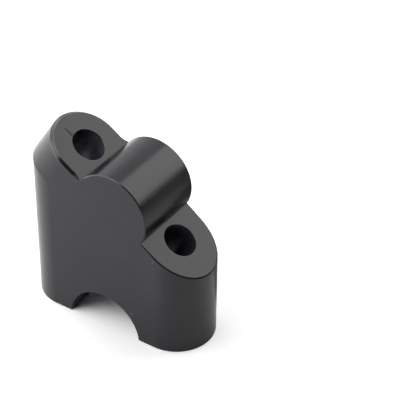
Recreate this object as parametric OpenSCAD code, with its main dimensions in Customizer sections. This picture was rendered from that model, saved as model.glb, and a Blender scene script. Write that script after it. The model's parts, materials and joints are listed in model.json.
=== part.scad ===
// Motorcycle handlebar riser, milled from one block of aluminium.
// It stands on its two feet, saddle down and boss up, the way it lies on a bench.
// X runs along the body with the tall end at +X, Y runs along the handlebar, Z is up.
// The origin is under the middle of the saddle, level with the feet. Millimetres.

/* [Handlebar] */
// Diameter of the handlebar that lies in the saddle
bar_d = 22.2; // [19:0.1:24]
// Diameter of the boss that the old clamp grips in place of the bar
boss_d = 22.2; // [19:0.1:24]
// How far the bar's axis lies outside the feet, which leaves the cap its clamping gap
saddle_gap = 0.9; // [0:0.1:2]
// How far the boss's axis lies below the flange, which leaves the old clamp its gap
boss_gap = 0.5; // [0:0.1:2]

/* [Body] */
// Width of the body, measured along the bar
body_w = 21.2; // [18:0.1:26]
// Distance between the centres of the two round ends
end_spacing = 32.5; // [31:0.5:36]
// Height of the boss's axis above the bar's axis
rise = 39.5; // [37:0.5:50]
// How far the boss's axis steps back from the bar's axis
set_back = 2.8; // [0:0.1:5]
// Angle between the flange and the feet, in degrees
flange_tilt = 33.5; // [28:0.5:36]

/* [Bolts] */
// Distance between the two bolts of a clamp, which the old clamp and the cap share
bolt_spacing = 34; // [32.5:0.5:35]
// Diameter of the clearance holes through the flange
bolt_hole_d = 9; // [7:0.1:9.5]
// Diameter of the pockets that take the bolt heads
head_pocket_d = 13.2; // [11:0.1:14]
// Metal between the flange and the bolt head's seat at the tall end
tall_seat = 19; // [14:0.5:22]
// Metal between the flange and the bolt head's seat at the low end
low_seat = 15; // [8:0.5:16]
// Diameter of the tapped holes in the feet, for the cap's bolts
tap_d = 6.8; // [5:0.1:7]
// Depth of the tapped hole in the tall foot
tall_tap_depth = 18; // [8:0.5:20]
// Depth of the tapped hole in the low foot
low_tap_depth = 10; // [6:0.5:11]
// Widest diameter of the countersink at the mouth of a tapped hole
countersink_d = 8.6; // [7.4:0.1:9.4]

/* [Edges] */
// Width of the chamfer round the tall end of the flange
rim_chamfer = 0.8; // [0.3:0.1:1.5]
// Radius of the chamfer's cutter, which sets how it runs out beside the boss
cutter_r = 4; // [3:0.1:6]
// Space between the boss and the mark of the chamfer's cutter
cutter_clearance = 0.2; // [0.1:0.1:1]

/* [Hidden] */
end_r = body_w / 2;
boss_r = boss_d / 2;
boss_height = rise - saddle_gap;
bolt_offset = bolt_spacing / 2;
// How far the bar's axis lies below the flange, measured square to it
bar_depth = rise * cos(flange_tilt) + set_back * sin(flange_tilt) + boss_gap;
drill_point_angle = 118;
body_length = end_spacing + body_w;
reach = body_length + rise + boss_d;
margin = 1;
skin = 0.05;
tip_r = cutter_r - rim_chamfer;
boss_edge = sqrt(boss_r * boss_r - boss_gap * boss_gap);
run_out = boss_edge + cutter_clearance + sqrt(cutter_r * cutter_r - tip_r * tip_r);
$fn = 96;

// Height of the flange above the feet, at a place along the body
function flange_height(x) =
    boss_height + (x + set_back) * tan(flange_tilt) + boss_gap / cos(flange_tilt);

// Places children in the flange's frame: its origin on the boss's axis, X up the flange
// and Z square to it.
module on_boss_axis() {
    translate([-set_back, 0, boss_height]) rotate([0, -flange_tilt, 0]) children();
}

// Upright block with two flat sides and two round ends
module upright_block() {
    translate([-end_spacing / 2, -end_r, 0]) cube([end_spacing, body_w, reach]);
    for (side = [-1, 1])
        translate([side * end_spacing / 2, 0, 0]) cylinder(r = end_r, h = reach);
}

// Outline seen from the side: the flange with its boss, and the saddle between the feet
module side_outline() {
    low_end = -body_length / 2 - margin;
    tall_end = body_length / 2 + margin;
    difference() {
        union() {
            polygon([
                [low_end, 0],
                [tall_end, 0],
                [tall_end, flange_height(tall_end)],
                [low_end, flange_height(low_end)]
            ]);
            translate([-set_back, boss_height]) circle(d = boss_d);
        }
        translate([0, -saddle_gap]) circle(d = bar_d);
    }
}

// Corner of the block outside the tall end's upper round, whose axis is that of its bolt
module tall_end_corner() {
    on_boss_axis() translate([bolt_offset, 0, -reach / 2]) difference() {
        translate([0, -body_w, 0]) cube([reach, 2 * body_w, reach]);
        translate([0, 0, -margin]) cylinder(r = end_r, h = reach + 2 * margin);
    }
}

// Wedge that the chamfer's cutter takes off one straight side of the tall end. It runs on a
// little past the start of the round, inside what the round's own cut takes off.
module side_chamfer_cut(side) {
    length = bolt_offset - run_out + margin;
    rotate([90, 0, 90]) translate([0, 0, run_out]) linear_extrude(length)
        polygon([
            [side * (end_r - rim_chamfer - skin), skin],
            [side * (end_r + skin), -rim_chamfer - skin],
            [side * (end_r + skin), skin]
        ]);
}

// Chamfer round the rim of the tall end, with the mark that the cutter leaves beside the boss
module rim_chamfer_cut() {
    depth = rim_chamfer + skin;
    on_boss_axis() translate([0, 0, boss_gap]) {
        translate([bolt_offset, 0, -depth]) difference() {
            translate([0, -body_w, 0]) cube([body_w, 2 * body_w, depth + skin / 2]);
            cylinder(r1 = end_r + skin, r2 = end_r - rim_chamfer - skin, h = depth + skin);
        }
        for (side = [-1, 1]) {
            side_chamfer_cut(side);
            translate([run_out, side * (end_r + tip_r), -depth])
                cylinder(r1 = tip_r - skin, r2 = cutter_r + skin, h = depth + skin);
        }
    }
}

// Clearance hole square to the flange, with the bolt head's pocket from its seat to a depth
module flange_bolt_hole(place, seat, depth) {
    on_boss_axis() translate([place, 0, boss_gap]) {
        translate([0, 0, -seat - margin]) cylinder(d = bolt_hole_d, h = seat + 2 * margin);
        translate([0, 0, -depth]) cylinder(d = head_pocket_d, h = depth - seat);
    }
}

// Tapped hole in a foot, with its drill point and countersink
module foot_tap_hole(place, depth) {
    point_h = tap_d / 2 / tan(drill_point_angle / 2);
    sink_h = (countersink_d - tap_d) / 2;
    translate([place, 0, 0]) {
        translate([0, 0, -margin]) cylinder(d = tap_d, h = depth + margin);
        translate([0, 0, depth]) cylinder(d1 = tap_d, d2 = 0, h = point_h);
        translate([0, 0, -skin])
            cylinder(d1 = countersink_d + 2 * skin, d2 = tap_d, h = sink_h + skin);
    }
}

module riser_body() {
    color([0.16, 0.16, 0.17]) difference() {
        intersection() {
            upright_block();
            rotate([90, 0, 0]) translate([0, 0, -body_w]) linear_extrude(2 * body_w)
                side_outline();
        }
        tall_end_corner();
        rim_chamfer_cut();
        flange_bolt_hole(bolt_offset, tall_seat, reach);
        flange_bolt_hole(-bolt_offset, low_seat, bar_depth);
        foot_tap_hole(bolt_offset, tall_tap_depth);
        foot_tap_hole(-bolt_offset, low_tap_depth);
    }
}

riser_body();
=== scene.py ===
"""A motorcycle handlebar riser, milled from one block of aluminium and anodised black.

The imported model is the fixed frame. This script gives it its broken edges, its finish, the
threads in its feet, a white bench, soft studio light and the camera.
"""

import json
import math

import bmesh
import bpy
import numpy as np
from mathutils import Matrix, Vector


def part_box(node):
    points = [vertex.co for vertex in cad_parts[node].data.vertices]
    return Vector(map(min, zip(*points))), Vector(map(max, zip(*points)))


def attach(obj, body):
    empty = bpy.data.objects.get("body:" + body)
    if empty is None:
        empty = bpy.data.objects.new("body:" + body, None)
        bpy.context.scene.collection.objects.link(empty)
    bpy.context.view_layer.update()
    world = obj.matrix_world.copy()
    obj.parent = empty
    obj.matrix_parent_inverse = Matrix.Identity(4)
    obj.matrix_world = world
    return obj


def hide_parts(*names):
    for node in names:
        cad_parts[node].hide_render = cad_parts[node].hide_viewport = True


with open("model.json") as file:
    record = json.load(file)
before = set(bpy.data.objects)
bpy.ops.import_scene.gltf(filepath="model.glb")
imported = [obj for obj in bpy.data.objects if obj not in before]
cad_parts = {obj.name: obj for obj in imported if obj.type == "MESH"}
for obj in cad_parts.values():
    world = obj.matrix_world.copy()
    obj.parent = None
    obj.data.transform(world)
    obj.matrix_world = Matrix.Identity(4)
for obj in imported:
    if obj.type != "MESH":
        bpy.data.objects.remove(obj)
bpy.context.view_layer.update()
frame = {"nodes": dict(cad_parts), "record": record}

# Camera
# A long lens on a stand, looking down on the riser from beside its low end. It aims at a point
# of the bench behind the riser, so that the riser stands in the left half of the picture.
AIM = Vector((0.00559, -0.04912, 0))
CAMERA_DISTANCE = 0.44012
CAMERA_HEADING = math.radians(-57.645)
CAMERA_PITCH = math.radians(36.715)
CAMERA_ROLL = math.radians(1.083)
LENS_MM = 127.95
SENSOR_MM = 36
NEAREST_SEEN = 0.01

forward = Vector(
    (
        math.cos(CAMERA_HEADING) * math.cos(CAMERA_PITCH),
        math.sin(CAMERA_HEADING) * math.cos(CAMERA_PITCH),
        -math.sin(CAMERA_PITCH),
    )
)
level = forward.cross(Vector((0, 0, 1))).normalized()
right = Matrix.Rotation(-CAMERA_ROLL, 3, forward) @ level
lens = bpy.data.cameras.new("studio_camera")
lens.lens = LENS_MM
lens.sensor_width = SENSOR_MM
lens.clip_start = NEAREST_SEEN
camera = bpy.data.objects.new("studio_camera", lens)
camera.matrix_world = Matrix.Translation(AIM - forward * CAMERA_DISTANCE) @ (
    Matrix((right, right.cross(forward), -forward)).transposed().to_4x4()
)
bpy.context.scene.collection.objects.link(camera)
bpy.context.scene.camera = camera

# Riser body
# One block of aluminium, milled on its walls, flange, boss and saddle, then drilled and tapped
# for its screws. Every outer edge is broken by a fraction of a millimetre before the black
# anodising, which leaves the cutter's faint lines showing.
EDGE_BREAK = 0.0003
BOSS_BREAK = 0.00025
FLANGE_BREAK = 0.00028
RIM_BREAK = 0.00009
EDGE_STEPS = 3
ROUND_PROFILE = 0.5
NO_SURFACE = -1
FLAT_BREAK = -2
MERGE_DISTANCE = 4e-6
FLAT_ANGLE = math.radians(0.2)
SHARP_ANGLE = math.radians(40)
ON_SURFACE = 6e-6
MOST_TURN = 0.1
NOT_ZERO = 1e-9
MM_PER_METRE = 1000
POCKET_R = 0.0066
RIM_CHAMFER = 0.0008
COUNTERSINK_R = 0.0043
DRILL_POINT_ANGLE = math.radians(118)
THREAD_R = 0.004
THREAD_PITCH = 0.00125
DRILLED_BEYOND_THREAD = 0.0025

low_corner, high_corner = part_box("riser_body")
mounts = {mount["name"]: mount for mount in frame["record"]["mounts"]}
half_width = (high_corner.y - low_corner.y) / 2
end_centre = high_corner.x - half_width
up = Vector((0, 0, 1))
along_bar = Vector((0, 1, 0))
flange_normal = Vector(mounts["tall_bolt_hole"]["axis"]).normalized()


def mount_at(name):
    """Place, radius and length of a mount, in metres."""
    dims = mounts[name]["dims"]
    radius, length = dims["r_mm"] / MM_PER_METRE, dims["length_mm"] / MM_PER_METRE
    return Vector(mounts[name]["pos_m"]), radius, length


class Surface:
    """A true surface of the body: a flat, or a wall turned about an axis, which may taper.

    The grain is the way the cutter's lines run: along a given way, or round the axis.
    """

    def __init__(self, name, point, axis, radius=None, taper=0.0, inside=False, grain=None):
        self.name = name
        self.point = np.array(point)
        self.axis = np.array(Vector(axis).normalized())
        self.radius = radius
        self.taper = taper
        self.side = -1 if inside else 1
        self.grain = grain

    def measure(self, points):
        """Height above the surface and outward normal at each point."""
        offset = np.asarray(points) - self.point
        along = offset @ self.axis
        if self.radius is None:
            return along, np.broadcast_to(self.axis, offset.shape)
        radial = offset - along[:, None] * self.axis
        distance = np.maximum(np.linalg.norm(radial, axis=1), NOT_ZERO)
        stretch = math.hypot(1, self.taper)
        normals = (radial / distance[:, None] - self.taper * self.axis) / stretch
        return (distance - self.radius - self.taper * along) / stretch, self.side * normals

    def grain_at(self, point):
        """Way the cutter's lines run at a point."""
        if self.grain is not None:
            return self.grain
        return Vector(self.axis).cross(Vector(point) - Vector(self.point)).normalized()


tall_hole, tall_hole_r, tall_seat = mount_at("tall_bolt_hole")
low_hole, low_hole_r, low_seat = mount_at("low_bolt_hole")
boss_centre, boss_r, _ = mount_at("clamp_boss")
saddle_centre, saddle_r, _ = mount_at("bar_saddle")
flange_point = tall_hole + flange_normal * tall_seat / 2
chamfer_edge = half_width - RIM_CHAMFER
surfaces = [
    Surface("foot", (0, 0, 0), -up, grain=along_bar),
    Surface("flange", flange_point, flange_normal, grain=along_bar),
    Surface("boss", boss_centre, along_bar, boss_r, grain=along_bar),
    Surface("saddle", saddle_centre, along_bar, saddle_r, inside=True, grain=along_bar),
    Surface("end", (end_centre, 0, 0), up, half_width, grain=up),
    Surface("end", (-end_centre, 0, 0), up, half_width, grain=up),
    Surface("upper_round", tall_hole, flange_normal, half_width, grain=flange_normal),
    Surface("chamfer", flange_point, flange_normal, chamfer_edge, taper=-1),
]
for side in (-1, 1):
    across = side * along_bar
    chamfer_point = flange_point + across * chamfer_edge
    surfaces.append(Surface("wall", across * half_width, across, grain=up))
    surfaces.append(
        Surface("chamfer", chamfer_point, across + flange_normal, grain=across - flange_normal)
    )
for centre, radius, seat in ((tall_hole, tall_hole_r, tall_seat), (low_hole, low_hole_r, low_seat)):
    seat_point = centre - flange_normal * seat / 2
    surfaces.append(Surface("bolt_hole", centre, flange_normal, radius, inside=True))
    surfaces.append(Surface("pocket", centre, flange_normal, POCKET_R, inside=True))
    surfaces.append(Surface("seat", seat_point, -flange_normal, grain=along_bar))
tapped_holes = []
for name in ("tall_cap_hole", "low_cap_hole"):
    centre, radius, length = mount_at(name)
    mouth = Vector((centre.x, 0, 0))
    depth = COUNTERSINK_R - radius + length
    point_taper = -math.tan(DRILL_POINT_ANGLE / 2)
    tapped_holes.append((name, mouth, radius, depth - DRILLED_BEYOND_THREAD))
    surfaces.append(Surface("tapped_hole", mouth, up, radius, inside=True))
    surfaces.append(Surface("countersink", mouth, up, COUNTERSINK_R, taper=-1, inside=True))
    surfaces.append(
        Surface("drill_point", mouth + up * depth, up, radius, taper=point_taper, inside=True)
    )

# How the edges between two surfaces are broken: flat or rounded, how wide, and how strongly
# their colour is lightened, as a painted highlight along the edge with slight wear
BROKEN_EDGES = (
    {"flat": True, "width": BOSS_BREAK, "rubbed": 0.1, "edges": ("wall boss",)},
    {"flat": True, "width": FLANGE_BREAK, "rubbed": 0.1, "edges": ("wall flange", "end flange")},
    {
        "flat": False,
        "width": EDGE_BREAK,
        "rubbed": 0.15,
        "edges": (
            "wall foot",
            "wall saddle",
            "end foot",
            "end pocket",
            "foot saddle",
            "flange bolt_hole",
            "pocket saddle",
            "seat bolt_hole",
        ),
    },
    {
        "flat": False,
        "width": RIM_BREAK,
        "rubbed": 1.0,
        "edges": ("chamfer flange", "chamfer wall", "chamfer upper_round"),
    },
)

# Surfaces that a fly cutter left coarser than the rest, and the bored ones, rougher and painted
# paler as light glowing inside the holes and the arch
COARSE = {"flange", "foot", "seat"}
BORED = {"saddle", "bolt_hole"}

shape = bmesh.new()
shape.from_mesh(frame["nodes"]["riser_body"].data)
bmesh.ops.remove_doubles(shape, verts=shape.verts, dist=MERGE_DISTANCE)
bmesh.ops.dissolve_limit(shape, angle_limit=FLAT_ANGLE, verts=[], edges=shape.edges)
surface_layer = shape.faces.layers.int.new("surface")
highlight_and_wear_layer = shape.faces.layers.float.new("rubbed")
coarse_layer = shape.faces.layers.float.new("coarse")
bored_and_glow_layer = shape.faces.layers.float.new("bored")


def nearest_surface(face):
    """Number of the true surface that a face lies on, or NO_SURFACE if it is on none of them."""
    corners = [tuple(vertex.co) for vertex in face.verts]
    best, least = NO_SURFACE, MOST_TURN
    for number, surface in enumerate(surfaces):
        heights, normals = surface.measure(corners)
        turn = 1 - (normals @ np.array(face.normal)).min()
        if np.abs(heights).max() < ON_SURFACE and turn < least:
            best, least = number, turn
    return best


for face in shape.faces:
    face[surface_layer] = nearest_surface(face)
for kind in BROKEN_EDGES:
    pairs = [set(pair.split()) for pair in kind["edges"]]
    edges = [
        edge
        for edge in shape.edges
        if edge.is_convex
        and min(face[surface_layer] for face in edge.link_faces) >= 0
        and {surfaces[face[surface_layer]].name for face in edge.link_faces} in pairs
    ]
    broken = bmesh.ops.bevel(
        shape,
        geom=edges,
        offset=kind["width"],
        segments=1 if kind["flat"] else EDGE_STEPS,
        profile=ROUND_PROFILE,
        affect="EDGES",
        clamp_overlap=False,
    )
    for face in broken["faces"]:
        face[surface_layer] = FLAT_BREAK if kind["flat"] else NO_SURFACE
        face[highlight_and_wear_layer] = kind["rubbed"]

# The tap opens each foot's hole to the thread's outer size and stops short of its full depth.
for name, mouth, radius, thread_end in tapped_holes:
    deepening = THREAD_R - radius
    wall = [
        face
        for face in shape.faces
        if face[surface_layer] >= 0
        and surfaces[face[surface_layer]].name == "tapped_hole"
        and abs(face.calc_center_median().x - mouth.x) < THREAD_R
    ]
    for height in (thread_end, thread_end + deepening):
        around = list({item for face in wall for item in (*face.verts, *face.edges)})
        cut = bmesh.ops.bisect_plane(
            shape, geom=wall + around, plane_co=up * height, plane_no=up, dist=MERGE_DISTANCE
        )
        wall = [item for item in cut["geom"] if isinstance(item, bmesh.types.BMFace)]
    for vertex in {vertex for face in wall for vertex in face.verts}:
        if vertex.co.z < thread_end + MERGE_DISTANCE:
            at_mouth = vertex.co.z < thread_end / 2
            spread = (vertex.co - mouth) * (THREAD_R / radius)
            spread.z = COUNTERSINK_R - THREAD_R if at_mouth else vertex.co.z
            vertex.co = mouth + spread
    for face in wall:
        if thread_end < face.calc_center_median().z < thread_end + deepening:
            face[surface_layer] = NO_SURFACE
shape.normal_update()


def corner_normal(loop):
    """Normal at a face's corner: the true surface's, or none where Blender's own is as good."""
    number = loop.face[surface_layer]
    if number == FLAT_BREAK:
        like = (face.normal for face in loop.vert.link_faces if face[surface_layer] == FLAT_BREAK)
        return sum(like, Vector()).normalized()
    if number < 0:
        around = {face[surface_layer] for face in loop.vert.link_faces if face[surface_layer] >= 0}
        if len(around) != 1:
            return Vector()
        number = around.pop()
    return surfaces[number].measure([tuple(loop.vert.co)])[1][0]


for edge in shape.edges:
    edge.smooth = edge.calc_face_angle() < SHARP_ANGLE
for face in shape.faces:
    name = surfaces[face[surface_layer]].name if face[surface_layer] >= 0 else None
    face[coarse_layer] = name in COARSE
    face[bored_and_glow_layer] = name in BORED
corner_normals = [corner_normal(loop) for face in shape.faces for loop in face.loops]
grain_ways = [
    surfaces[face[surface_layer]].grain_at(face.calc_center_median())
    if face[surface_layer] >= 0
    else Vector()
    for face in shape.faces
]
body_mesh = bpy.data.meshes.new("anodised_body")
shape.to_mesh(body_mesh)
shape.free()
body_mesh.normals_split_custom_set(corner_normals)
grain_attribute = body_mesh.attributes.new("grain", "FLOAT_VECTOR", "FACE")
grain_attribute.data.foreach_set("vector", np.array(grain_ways, np.float32).ravel())
body = bpy.data.objects.new("anodised_body", body_mesh)
bpy.context.scene.collection.objects.link(body)


class Socket:
    """A shader socket that plain sums work on, with one method that makes any other node."""

    def __init__(self, tree, socket=None):
        self.tree = tree
        self.socket = socket

    def node(self, kind, settings=None, inputs=None, output=0):
        made = self.tree.nodes.new(kind)
        for name, value in (settings or {}).items():
            setattr(made, name, value)
        for key, value in (inputs or {}).items():
            if isinstance(value, Socket):
                self.tree.links.new(value.socket, made.inputs[key])
            else:
                made.inputs[key].default_value = value
        return Socket(self.tree, made.outputs[output] if made.outputs else None)

    def math(self, operation, *values):
        return self.node("ShaderNodeMath", {"operation": operation}, dict(enumerate(values)))

    def vector(self, operation, *values, output=0):
        settings = {"operation": operation}
        return self.node("ShaderNodeVectorMath", settings, dict(enumerate(values)), output)

    def __add__(self, other):
        return self.math("ADD", self, other)

    def __sub__(self, other):
        return self.math("SUBTRACT", self, other)

    def __rsub__(self, other):
        return self.math("SUBTRACT", other, self)

    def __mul__(self, other):
        return self.math("MULTIPLY", self, other)

    __radd__ = __add__
    __rmul__ = __mul__


def new_material(name):
    """A material with an empty shader, and the wrapper that fills it."""
    material = bpy.data.materials.new(name)
    material.use_nodes = True
    material.node_tree.nodes.clear()
    return material, Socket(material.node_tree)


# Black anodising over milled aluminium: nearly black underneath, with a clear oxide's even gloss.
# Two specks of dust lie on the broad side, and the tall hole's rim has a faint smear beside it.
OXIDE_IOR = 1.45
OXIDE_BLACK = (0.0080, 0.0080, 0.0112, 1)
OXIDE_PALER = (0.0150, 0.0150, 0.0184, 1)
# Colour of the broken edges: a painted highlight along them, with slight wear
EDGE_HIGHLIGHT_AND_WEAR = (0.11, 0.11, 0.115, 1)
# Colour of the bored walls: painted paler, standing in for light that glows inside the holes and
# the arch
PAINTED_GLOW_WALL = (0.052, 0.054, 0.071, 1)
DUST = (0.10, 0.10, 0.10, 1)
OXIDE_ROUGHNESS = 0.215
CLOUD_ROUGHNESS = 0.08
STREAK_ROUGHNESS = 0.12
COARSE_ROUGHNESS = 0.09
SMEAR_ROUGHNESS = 0.2
BORED_ROUGHNESS = 0.1
NOISE_MEAN = 0.5
CLOUD_SCALE = 160
CLOUD_SHARE = 0.5
STREAK_SCALE = 2400
STREAK_LENGTH = 60
SPECKLE_SCALE = 9000
TONE_CONTRAST = 3
LEAST_HIGHLIGHT_AND_WEAR = 0.4
STREAK_HEIGHT = 2.5e-6
SPECKLE_HEIGHT = 0.5e-6

DUST_SPECKS = ((-0.0160, half_width, 0.0288), (-0.0092, half_width, 0.0084))
DUST_R = 0.00022
SMEAR_FROM = Vector((0.01684, 0.0022, 0.0522))
SMEAR_TO = Vector((0.0144, 0.0022, 0.05059))
SMEAR_TIP_R = 0.0003
SMEAR_R = 0.0009
SMEAR_DEPTH = 0.00008

anodised, shader = new_material("black_anodised_aluminium")
place = shader.node("ShaderNodeTexCoord", output="Object")
grain = shader.node("ShaderNodeAttribute", {"attribute_name": "grain"}, output="Vector")
rubbed = shader.node("ShaderNodeAttribute", {"attribute_name": "rubbed"}, output="Fac")
coarse = shader.node("ShaderNodeAttribute", {"attribute_name": "coarse"}, output="Fac")
bored = shader.node("ShaderNodeAttribute", {"attribute_name": "bored"}, output="Fac")
along = place.vector("DOT_PRODUCT", place, grain, output="Value")
drawn_out = grain.node(
    "ShaderNodeVectorMath",
    {"operation": "SCALE"},
    {0: grain, "Scale": along * (1 / STREAK_LENGTH - 1)},
)
streak_place = place.vector("ADD", place, drawn_out)
streaks = shader.node(
    "ShaderNodeTexNoise",
    inputs={"Vector": streak_place, "Scale": STREAK_SCALE, "Detail": 3.0, "Roughness": 0.6},
)
speckle = shader.node(
    "ShaderNodeTexNoise",
    inputs={"Vector": place, "Scale": SPECKLE_SCALE, "Detail": 2.0},
)
clouds = shader.node(
    "ShaderNodeTexNoise",
    inputs={"Vector": place, "Scale": CLOUD_SCALE, "Detail": 4.0, "Roughness": 0.55},
)
uneven = clouds * CLOUD_SHARE + streaks * (1 - CLOUD_SHARE) - NOISE_MEAN
paler = uneven * TONE_CONTRAST + NOISE_MEAN
colour = shader.node(
    "ShaderNodeMix", {"data_type": "RGBA"}, {0: paler, 6: OXIDE_BLACK, 7: OXIDE_PALER}, output=2
)
# Bored walls take a paler colour: painted light glowing inside the holes and the arch
colour = shader.node(
    "ShaderNodeMix", {"data_type": "RGBA"}, {0: bored, 6: colour, 7: PAINTED_GLOW_WALL}, output=2
)
# Broken edges are lightened: a painted highlight along them, with slight wear
edge_highlight_and_wear_share = rubbed * (clouds + LEAST_HIGHLIGHT_AND_WEAR)
colour = shader.node(
    "ShaderNodeMix", {"data_type": "RGBA"}, {0: edge_highlight_and_wear_share, 6: colour, 7: EDGE_HIGHLIGHT_AND_WEAR}, output=2
)
for speck in DUST_SPECKS:
    away = place.vector("DISTANCE", place, speck, output="Value")
    colour = shader.node(
        "ShaderNodeMix",
        {"data_type": "RGBA"},
        {0: away.math("LESS_THAN", away, DUST_R), 6: colour, 7: DUST},
        output=2,
    )
smear_way = SMEAR_TO - SMEAR_FROM
offset = place.vector("SUBTRACT", place, SMEAR_FROM)
share = offset.vector("DOT_PRODUCT", offset, smear_way / smear_way.length_squared, output="Value")
share = share.node("ShaderNodeClamp", inputs={0: share})
nearest = share.node(
    "ShaderNodeVectorMath", {"operation": "SCALE"}, {0: smear_way, "Scale": share}
)
smear = offset.vector("DISTANCE", offset, nearest, output="Value")
smear = smear.math("DIVIDE", smear, share * (SMEAR_R - SMEAR_TIP_R) + SMEAR_TIP_R)
smear = smear.math("MAXIMUM", 1 - smear, 0.0)
roughness = OXIDE_ROUGHNESS + (clouds - NOISE_MEAN) * CLOUD_ROUGHNESS
roughness = roughness + (streaks - NOISE_MEAN) * STREAK_ROUGHNESS
roughness = roughness + coarse * COARSE_ROUGHNESS + bored * BORED_ROUGHNESS
roughness = roughness + smear * SMEAR_ROUGHNESS
streak_bump = shader.node(
    "ShaderNodeBump", inputs={"Height": streaks, "Distance": STREAK_HEIGHT, "Strength": 1.0}
)
speckle_bump = shader.node(
    "ShaderNodeBump",
    inputs={
        "Height": speckle,
        "Distance": SPECKLE_HEIGHT,
        "Strength": 1.0,
        "Normal": streak_bump,
    },
)
bump = shader.node(
    "ShaderNodeBump",
    inputs={
        "Height": 1 - smear,
        "Distance": SMEAR_DEPTH,
        "Strength": 1.0,
        "Normal": speckle_bump,
    },
)
finish = shader.node(
    "ShaderNodeBsdfPrincipled",
    inputs={"Base Color": colour, "Roughness": roughness, "IOR": OXIDE_IOR, "Normal": bump},
)
shader.node("ShaderNodeOutputMaterial", inputs={"Surface": finish})
body_mesh.materials.append(anodised)
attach(body, "root")
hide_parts("riser_body")

# Threads of the two tapped feet
# The cap's screws pull on an M8 coarse thread, cut by a tap after drilling. Its ridge grows out
# of the wall over half a turn at each end.
THREAD_STEPS = 60
THREAD_START = 0.0011
FLANK_ANGLE = math.radians(30)
FLANK = math.tan(FLANK_ANGLE)
CREST = THREAD_PITCH / 4
SUNK_BASE = 0.0001
FADE_TURNS = 0.5
LEAST_RIDGE = 0.04

tree = bpy.data.node_groups.new("thread_ridge", "GeometryNodeTree")
tree.interface.new_socket("Geometry", in_out="OUTPUT", socket_type="NodeSocketGeometry")
inputs = {
    name: tree.interface.new_socket(name, in_out="INPUT", socket_type="NodeSocketFloat").identifier
    for name in ("Centre", "Start", "Wall Radius", "Pitch", "Turns", "Ridge")
}
material_input = tree.interface.new_socket(
    "Material", in_out="INPUT", socket_type="NodeSocketMaterial"
).identifier
entry = tree.nodes.new("NodeGroupInput")
centre, start, wall_radius, pitch, turns, ridge = (Socket(tree, entry.outputs[n]) for n in inputs)
helix = turns.node(
    "GeometryNodeCurveSpiral",
    inputs={
        "Resolution": THREAD_STEPS,
        "Rotations": turns,
        "Start Radius": wall_radius,
        "End Radius": wall_radius,
        "Height": turns * pitch,
    },
)
helix = helix.node("GeometryNodeSetCurveNormal", {"mode": "Z_UP"}, {"Curve": helix})
half_base = ridge * FLANK + (CREST / 2 + SUNK_BASE * FLANK)
corners = (
    (-SUNK_BASE, half_base),
    (ridge, CREST / 2),
    (ridge, -CREST / 2),
    (-SUNK_BASE, 0 - half_base),
)
profile = helix.node(
    "GeometryNodeCurvePrimitiveQuadrilateral",
    {"mode": "POINTS"},
    {
        f"Point {number}": helix.node("ShaderNodeCombineXYZ", inputs={0: depth, 1: half})
        for number, (depth, half) in enumerate(corners, 1)
    },
)
turned = turns * turns.node("GeometryNodeSplineParameter")
grown = turned.math("MINIMUM", turned, turns - turned) * (1 / FADE_TURNS)
grown = grown.math("MINIMUM", grown.math("MAXIMUM", grown, LEAST_RIDGE), 1.0)
swept = helix.node(
    "GeometryNodeCurveToMesh",
    inputs={"Curve": helix, "Profile Curve": profile, "Scale": grown, "Fill Caps": True},
)
placed = swept.node(
    "GeometryNodeTransform",
    inputs={
        "Geometry": swept,
        "Translation": swept.node("ShaderNodeCombineXYZ", inputs={0: centre, 2: start}),
    },
)
realised = placed.node("GeometryNodeRealizeInstances", inputs={0: placed})
finished = realised.node(
    "GeometryNodeSetMaterial",
    inputs={"Geometry": realised, "Material": Socket(tree, entry.outputs["Material"])},
)
finished.node("NodeGroupOutput", inputs={0: finished})

for name, mouth, radius, thread_end in tapped_holes:
    holder = bpy.data.objects.new("thread_holder", bpy.data.meshes.new("thread_holder"))
    bpy.context.scene.collection.objects.link(holder)
    modifier = holder.modifiers.new("thread_ridge", "NODES")
    modifier.node_group = tree
    sizes = {
        "Centre": mouth.x,
        "Start": THREAD_START,
        "Wall Radius": THREAD_R,
        "Pitch": THREAD_PITCH,
        "Turns": (thread_end - 2 * THREAD_START) / THREAD_PITCH,
        "Ridge": THREAD_R - radius,
    }
    for label, value in sizes.items():
        modifier[inputs[label]] = value
    modifier[material_input] = anodised
    evaluated = holder.evaluated_get(bpy.context.evaluated_depsgraph_get())
    thread_mesh = bpy.data.meshes.new_from_object(evaluated)
    bpy.data.objects.remove(holder)
    thread_mesh.name = name.replace("cap_hole", "thread")
    thread_mesh.shade_smooth()
    thread_mesh.set_sharp_from_angle(angle=SHARP_ANGLE)
    thread = bpy.data.objects.new(thread_mesh.name, thread_mesh)
    bpy.context.scene.collection.objects.link(thread)
    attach(thread, "root")

# Bench and light
# A white bench under a white tent, whose front is open and dark behind the camera. Three soft
# boxes light the riser from beyond its tall end, from behind its low end and from above. Four
# grey cards behind the low end are seen by gloss alone, as painted dark reflections, and a gauze
# dims the light under the saddle.
BENCH_SIZE = 6
BENCH_ALBEDO = 0.8
BENCH_SEEN = 1.25
BENCH_MIRRORED = 0.99
WHITE_FROM = 0.12
WHITE_BEYOND = 0.3
LOW_END_PAINTED_LIGHT = 0.55
BENCH_DROP = 0.00002
BENCH_PAINTED_SHADE = 0.22
LOW_END_FROM = -0.005
LOW_END_BEYOND = -0.028
TENT_R = 1.6
OPENING = {"headings": (85, 218), "heights": (-2, 90)}
LOW_WALL = {"headings": (-165, -68), "heights": (-2, 9)}
SHEET_STEPS = 24
HALF_SHEET = 0.5
TENT_LEVEL = 1.0
SOFT_BOXES = {
    "side_soft_box": {"way": (12, 30), "distance": 0.55, "size": (1.1, 0.63), "level": 1.98},
    "back_soft_box": {"way": (-117, 38), "distance": 0.7, "size": (0.55, 0.49), "level": 1.98},
    "top_soft_box": {"way": (60, 54), "distance": 0.9, "size": (0.6, 0.25), "level": 3.5},
}
GAUZE_Y = -0.005
GAUZE_HEIGHTS = (0.0018, 0.0105)
GAUZE_PASSES = 0.1
CARD_HEADING = -131
QUARTER_TURN = 90

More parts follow.
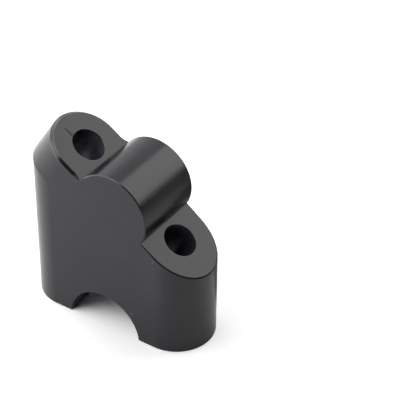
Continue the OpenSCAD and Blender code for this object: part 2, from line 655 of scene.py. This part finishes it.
# Places of the cards' ends: how far out along their heading, and how high over the bench
BENCH_END = (0.020, 0.0005)
SLOPE_FOOT = (0.045, 0.0005)
SLOPE_MIDDLE = (0.075, 0.0255)
SLOPE_TOP = (0.100, 0.0535)
CARDS = {
    "lying_card": {"ends": (BENCH_END, SLOPE_FOOT), "sides": (-0.008, 0.03), "painted_reflection_level": 0.25},
    "low_card": {"ends": (SLOPE_FOOT, SLOPE_MIDDLE), "sides": (-0.03, -0.007), "painted_reflection_level": 0.61},
    "high_card": {"ends": (SLOPE_MIDDLE, SLOPE_TOP), "sides": (-0.03, -0.007), "painted_reflection_level": 0.38},
    "dark_card": {"ends": (SLOPE_FOOT, SLOPE_TOP), "sides": (-0.007, 0.03), "painted_reflection_level": 0.13},
}

bench_mesh = bpy.data.meshes.new("white_bench")
half = BENCH_SIZE / 2
bench_mesh.from_pydata(
    [(side * half, end * half, -BENCH_DROP) for end in (-1, 1) for side in (-1, 1)],
    [],
    [(0, 1, 3, 2)],
)
bench = bpy.data.objects.new("white_bench", bench_mesh)
bpy.context.scene.collection.objects.link(bench)

# The bench lights the riser as white paint does, and is drawn whiter for the lens and in gloss.
# Beyond the low end it carries a painted shade in gloss, and for the lens painted light makes its
# shadow there fainter.
white, shader = new_material("white_bench")
place = shader.node("ShaderNodeTexCoord", output="Object")
by_lens = shader.node("ShaderNodeLightPath", output="Is Camera Ray")
by_gloss = shader.math(
    "MAXIMUM",
    shader.node("ShaderNodeLightPath", output="Is Glossy Ray"),
    shader.node("ShaderNodeLightPath", output="Is Transmission Ray"),
)
paint = BENCH_ALBEDO + by_lens * (BENCH_SEEN - BENCH_ALBEDO)
low_end = place.node(
    "ShaderNodeMapRange",
    {"interpolation_type": "SMOOTHSTEP"},
    {
        "Value": place.node("ShaderNodeSeparateXYZ", inputs={0: place}),
        "From Min": LOW_END_FROM,
        "From Max": LOW_END_BEYOND,
    },
)
# In gloss, the bench beyond the low end gets a painted shade
paint = paint + by_gloss * (BENCH_MIRRORED - BENCH_ALBEDO - low_end * BENCH_PAINTED_SHADE)
paint = shader.node("ShaderNodeCombineColor", inputs={0: paint, 1: paint, 2: paint})
painted = shader.node("ShaderNodeBsdfDiffuse", inputs={"Color": paint})
glowing = shader.node("ShaderNodeEmission", inputs={"Color": (1, 1, 1, 1)})
away = place.vector("LENGTH", place, output="Value")
away = away.node(
    "ShaderNodeMapRange",
    {"interpolation_type": "SMOOTHSTEP"},
    {"Value": away, "From Min": WHITE_FROM, "From Max": WHITE_BEYOND},
)
# For the lens, painted light fades the bench's shadow beyond the low end
whiter = away.math("MAXIMUM", away, low_end * LOW_END_PAINTED_LIGHT) * by_lens
surface = shader.node("ShaderNodeMixShader", inputs={0: whiter, 1: painted, 2: glowing})
shader.node("ShaderNodeOutputMaterial", inputs={"Surface": surface})
bench_mesh.materials.append(white)

world = bpy.data.worlds.new("white_tent")
world.use_nodes = True
background = world.node_tree.nodes["Background"]
background.inputs["Color"].default_value = (1, 1, 1, 1)
background.inputs["Strength"].default_value = TENT_LEVEL
bpy.context.scene.world = world


def direction(heading, height):
    """Way towards a place of the tent, from its heading and height over the bench in degrees."""
    heading, height = math.radians(heading), math.radians(height)
    flat = math.cos(height)
    return Vector((flat * math.cos(heading), flat * math.sin(heading), math.sin(height)))


# Dark cloth of the tent's open front, and a low wall of it behind the riser
dark, shader = new_material("dark_cloth")
unlit = shader.node("ShaderNodeEmission", inputs={"Color": (0, 0, 0, 1)})
shader.node("ShaderNodeOutputMaterial", inputs={"Surface": unlit})
for name, reach in (("dark_opening", OPENING), ("low_dark_wall", LOW_WALL)):
    sheet = bmesh.new()
    made = bmesh.ops.create_grid(
        sheet, x_segments=SHEET_STEPS, y_segments=SHEET_STEPS, size=HALF_SHEET
    )
    for vertex in made["verts"]:
        heading, height = (
            low + (share + HALF_SHEET) * (high - low)
            for (low, high), share in zip((reach["headings"], reach["heights"]), vertex.co)
        )
        vertex.co = TENT_R * direction(heading, height)
    sheet_mesh = bpy.data.meshes.new(name)
    sheet.to_mesh(sheet_mesh)
    sheet.free()
    sheet_mesh.materials.append(dark)
    cloth = bpy.data.objects.new(name, sheet_mesh)
    cloth.visible_camera = False
    bpy.context.scene.collection.objects.link(cloth)

# Cards that glow grey for gloss alone and paint dark reflections: one lies behind the low end, and
# three stand on a slope beyond it
outward = direction(CARD_HEADING, 0)
sideways = direction(CARD_HEADING + QUARTER_TURN, 0)
for name, spec in CARDS.items():
    card_mesh = bpy.data.meshes.new(name)
    card_mesh.from_pydata(
        [
            out * outward + aside * sideways + lift * up
            for out, lift in spec["ends"]
            for aside in spec["sides"]
        ],
        [],
        [(0, 1, 3, 2)],
    )
    grey, shader = new_material(name)
    # Each card glows a flat grey that paints a dark reflection into the riser's gloss
    lit = shader.node("ShaderNodeEmission", inputs={"Color": (spec["painted_reflection_level"],) * 3 + (1,)})
    shader.node("ShaderNodeOutputMaterial", inputs={"Surface": lit})
    card_mesh.materials.append(grey)
    card = bpy.data.objects.new(name, card_mesh)
    card.visible_camera = False
    card.visible_diffuse = False
    card.visible_shadow = False
    bpy.context.scene.collection.objects.link(card)

# Gauze across the saddle's arch
gauze_mesh = bpy.data.meshes.new("dark_gauze")
gauze_mesh.from_pydata(
    [(side * saddle_r, GAUZE_Y, height) for height in GAUZE_HEIGHTS for side in (-1, 1)],
    [],
    [(0, 1, 3, 2)],
)
thin, shader = new_material("dark_gauze")
passing = shader.node("ShaderNodeBsdfTransparent", inputs={"Color": (GAUZE_PASSES,) * 3 + (1,)})
shader.node("ShaderNodeOutputMaterial", inputs={"Surface": passing})
gauze_mesh.materials.append(thin)
gauze = bpy.data.objects.new("dark_gauze", gauze_mesh)
gauze.visible_camera = False
gauze.visible_glossy = False
bpy.context.scene.collection.objects.link(gauze)

for name, box in SOFT_BOXES.items():
    lamp = bpy.data.lights.new(name, "AREA")
    lamp.shape = "RECTANGLE"
    lamp.size, lamp.size_y = box["size"]
    lamp.energy = box["level"] * math.pi * lamp.size * lamp.size_y
    soft_box = bpy.data.objects.new(name, lamp)
    toward = direction(*box["way"])
    soft_box.location = toward * box["distance"]
    soft_box.rotation_euler = toward.to_track_quat("Z", "Y").to_euler()
    soft_box.visible_camera = False
    bpy.context.scene.collection.objects.link(soft_box)

bpy.context.scene.view_settings.view_transform = "Standard"
